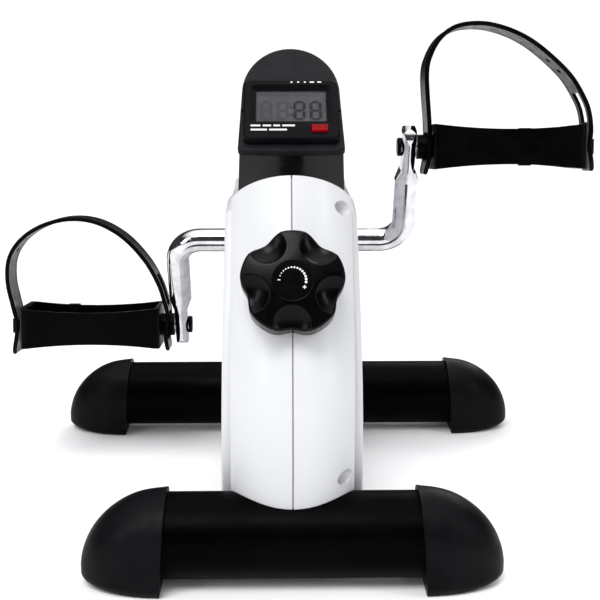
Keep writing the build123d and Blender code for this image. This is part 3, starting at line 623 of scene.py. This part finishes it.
def strap_rows(mesh, word, spots):
    """Rows of points across the strap, each with the columns of one face, then the other's."""
    centre = pivots[f"{word}_pedal_spin"]
    up = Vector((0, math.sin(PEDAL_TILT), math.cos(PEDAL_TILT)))
    front = Vector((0, -math.cos(PEDAL_TILT), math.sin(PEDAL_TILT)))
    rows = []
    for index, spot in enumerate(spots):
        before, after = spots[max(index - 1, 0)], spots[min(index + 1, len(spots) - 1)]
        along = (after - before).normalized()
        outward = Vector((-along.y, along.x))
        end = min(index, len(spots) - 1 - index) * STRAP_STEP
        taper = 1 - END_TAPER * max(0, 1 - end / TAPER_REACH) ** 2
        row = []
        for face in (-1, 1):
            for column in STRAP_COLUMNS:
                lip = STRAP_LIP if abs(column) > LIP_COLUMN else 0.0
                flat = spot + outward * face * (STRAP_THICKNESS / 2 - STRAP_LIP + lip)
                place = centre + (Vector((flat.x, 0, 0)) + up * flat.y + front * column * taper) * MM
                row.append(mesh.verts.new(place))
        rows.append(row)
    return rows


def strap_openings(word, side, spots):
    """Cells left open: the long slot, the holes round the stud and the boss, and two spare peg holes."""
    cells = set()
    inner = -side
    for index, (first, second) in enumerate(zip(spots, spots[1:])):
        middle = (first + second) / 2
        for column, (near, far) in enumerate(zip(STRAP_COLUMNS, STRAP_COLUMNS[1:])):
            across = abs(near + far) / 2
            slot = middle.x > 0 and SLOT_LOW < middle.y < SLOT_HIGH and across < SLOT_HALF_WIDTH
            peg = middle.x * inner < 0 and abs(middle.y) < PEG_HALF_HEIGHT and across < PEG_HALF_WIDTH
            boss = middle.x * inner > 0 and abs(middle.y) < BOSS_HALF_HEIGHT and across < BOSS_HALF_WIDTH
            if slot or peg or boss:
                cells.add((index, column))
    for index in SPARE_HOLE_ROWS:
        cells.add((len(spots) - index if word == "right" else index, len(STRAP_COLUMNS) // 2 - 1))
    return cells


def build_strap(word, side, material):
    """Foot strap with raised edges, a long slot on one leg, peg holes and a hole round the boss."""
    spots = smooth_route(STRAP_ROUTES[word], STRAP_STEP)
    mesh = bmesh.new()
    rows = strap_rows(mesh, word, spots)
    openings = strap_openings(word, side, spots)
    wide = len(STRAP_COLUMNS)
    for index, (a, b) in enumerate(zip(rows, rows[1:])):
        for low in range(wide - 1):
            if (index, low) not in openings:
                high = low + wide
                mesh.faces.new((a[low], a[low + 1], b[low + 1], b[low]))
                mesh.faces.new((a[high], b[high], b[high + 1], a[high + 1]))
    partner = {row[column]: row[column + wide] for row in rows for column in range(wide)}
    for edge in [edge for edge in mesh.edges if edge.is_boundary]:
        first, second = edge.verts
        if first in partner and second in partner:
            mesh.faces.new((first, second, partner[second], partner[first]))
    loose = [vert for vert in mesh.verts if not vert.link_faces]
    bmesh.ops.delete(mesh, geom=loose, context="VERTS")
    strap = finish_piece(f"{word}_foot_strap", mesh, f"{word}_pedal", material)
    modifier(strap, "SUBSURF", levels=1, render_levels=2)
    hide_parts(f"{word}_strap")


# ---------------------------------------------------------------- stage, light and camera

def build_stage(material):
    """Large pale floor."""
    mesh = bmesh.new()
    corners = bar_outline(0, 0, 2 * FLOOR_HALF, 2 * FLOOR_HALF)
    mesh.faces.new([mesh.verts.new((x, y, 0)) for x, y in corners])
    data = bpy.data.meshes.new("studio_floor")
    mesh.to_mesh(data)
    mesh.free()
    data.materials.append(material)
    floor = bpy.data.objects.new("studio_floor", data)
    bpy.context.scene.collection.objects.link(floor)


def add_strip(name, spot, width, watts):
    """Upright strip softbox aimed at the middle of the exerciser."""
    data = bpy.data.lights.new(name, "AREA")
    data.shape = "RECTANGLE"
    data.size = width
    data.size_y = STRIP_HEIGHT
    data.energy = watts
    light = bpy.data.objects.new(name, data)
    light.location = spot
    light.rotation_euler = (Vector(STRIP_TARGET) - Vector(spot)).to_track_quat("-Z", "Y").to_euler()
    bpy.context.scene.collection.objects.link(light)


def add_sun(name, source, strength, spread):
    """Soft sun that shines from a direction, with a spread in degrees."""
    data = bpy.data.lights.new(name, "SUN")
    data.energy = strength
    data.angle = math.radians(spread)
    light = bpy.data.objects.new(name, data)
    light.rotation_euler = Vector(source).to_track_quat("Z", "Y").to_euler()
    bpy.context.scene.collection.objects.link(light)


def build_world():
    """White studio: even soft light, with a dark surround below a bright ceiling for reflections."""
    world = bpy.data.worlds.new("studio")
    world.use_nodes = True
    bpy.context.scene.world = world
    tree = world.node_tree
    place = add_node(tree, "ShaderNodeTexCoord").outputs["Generated"]
    height = add_node(tree, "ShaderNodeSeparateXYZ", {"Vector": place}).outputs["Z"]
    band = two_tone(tree, height, SURROUND_TINT, CEILING_TINT, CEILING_START, CEILING_FULL)
    path = add_node(tree, "ShaderNodeLightPath")
    soft = tree.nodes["Background"]
    soft.inputs["Color"].default_value = SKY_TINT
    soft.inputs["Strength"].default_value = SKY_LIGHT
    banded = add_node(tree, "ShaderNodeBackground", {"Color": band, "Strength": CEILING_LIGHT})
    white = add_node(tree, "ShaderNodeBackground", {"Color": (1, 1, 1, 1), "Strength": BACKDROP_LIGHT})
    glossy = add_node(tree, "ShaderNodeMixShader",
                      {0: path.outputs["Is Glossy Ray"], 1: soft.outputs[0], 2: banded.outputs[0]})
    seen = add_node(tree, "ShaderNodeMixShader",
                    {0: path.outputs["Is Camera Ray"], 1: glossy.outputs[0], 2: white.outputs[0]})
    tree.links.new(seen.outputs[0], tree.nodes["World Output"].inputs["Surface"])


def build_camera():
    """Camera in front of the exerciser, level with the console and tilted down a little."""
    data = bpy.data.cameras.new("photo_view")
    data.lens = CAMERA_LENS
    data.sensor_width = CAMERA_SENSOR
    data.clip_start = CAMERA_NEAR_CLIP
    camera = bpy.data.objects.new("photo_view", data)
    camera.location = CAMERA_SPOT
    camera.rotation_euler = (math.pi / 2 - CAMERA_PITCH, 0, CAMERA_YAW)
    bpy.context.scene.collection.objects.link(camera)
    bpy.context.scene.camera = camera


# ---------------------------------------------------------------- putting it together

def paint(material, *names):
    """Gives CAD nodes their material."""
    for name in names:
        slots = nodes[name].data.materials
        slots.clear()
        slots.append(material)


def dress_frame():
    """Materials of the CAD nodes that stay."""
    steel = zinc()
    black = pedal_plastic()
    charcoal = charcoal_plastic()
    coat = powder_coat()
    plating = chrome()
    rubber = foot_rubber()
    paint(coat, "front_stabilizer_tube", "rear_stabilizer_tube", "base_rail")
    paint(coat, "left_frame_plate", "right_frame_plate")
    paint(rubber, *[f"{end}_{word}_foot" for end in ("front", "rear") for word in ("left", "right")])
    paint(white_plastic(), "left_shell", "right_shell")
    paint(gloss_black(), "neck_cover")
    paint(charcoal, "console_cover")
    paint(bezel_plastic(), "meter_bezel")
    paint(black, "meter_case", "battery_door", "reed_sensor", "knob_disc")
    paint(clear_window(), "lcd_window")
    paint(display_grey(), "lcd_panel")
    paint(solder_mask(), "circuit_board")
    paint(cell_wrap(), "battery")
    paint(red_plastic(), "reset_button")
    paint(sintered_iron(), "brake_drum")
    paint(bronze(), "left_axle_bush", "right_axle_bush")
    paint(felt(), "brake_band")
    paint(steel, "frame_bolts", "frame_nuts", "crank_hub", "hub_pins", "band_anchor_pin", "tension_screw")
    paint(steel, "screw_clip", "tension_nut", "shell_screws", "sensor_magnet")
    for word in ("left", "right"):
        paint(plating, f"{word}_crank")
        paint(black, f"{word}_pedal", f"{word}_strap_stud", f"{word}_pin_head")
        paint(steel, f"{word}_spindle", f"{word}_spindle_nut")


dress_frame()
strap_black = strap_plastic()
for word, side in (("left", -1), ("right", 1)):
    build_strap(word, side, strap_black)
ink = white_ink()
build_knob(knob_plastic())
build_knob_marks(ink)
build_display(segment_ink("faint_segments", FAINT_SEGMENTS), segment_ink("bold_segments", BOLD_SEGMENTS))
build_meter_marks(ink)

build_stage(floor_paint())
add_sun("key_sun", KEY_SUN_FROM, KEY_SUN_LIGHT, KEY_SUN_SPREAD)
add_sun("back_sun", BACK_SUN_FROM, BACK_SUN_LIGHT, BACK_SUN_SPREAD)
add_strip("left_strip", LEFT_STRIP_SPOT, LEFT_STRIP_WIDTH, LEFT_STRIP_WATTS)
add_strip("right_strip", RIGHT_STRIP_SPOT, RIGHT_STRIP_WIDTH, RIGHT_STRIP_WATTS)
build_world()
build_camera()
bpy.context.scene.view_settings.view_transform = "Standard"
bpy.context.scene.view_settings.look = "None"
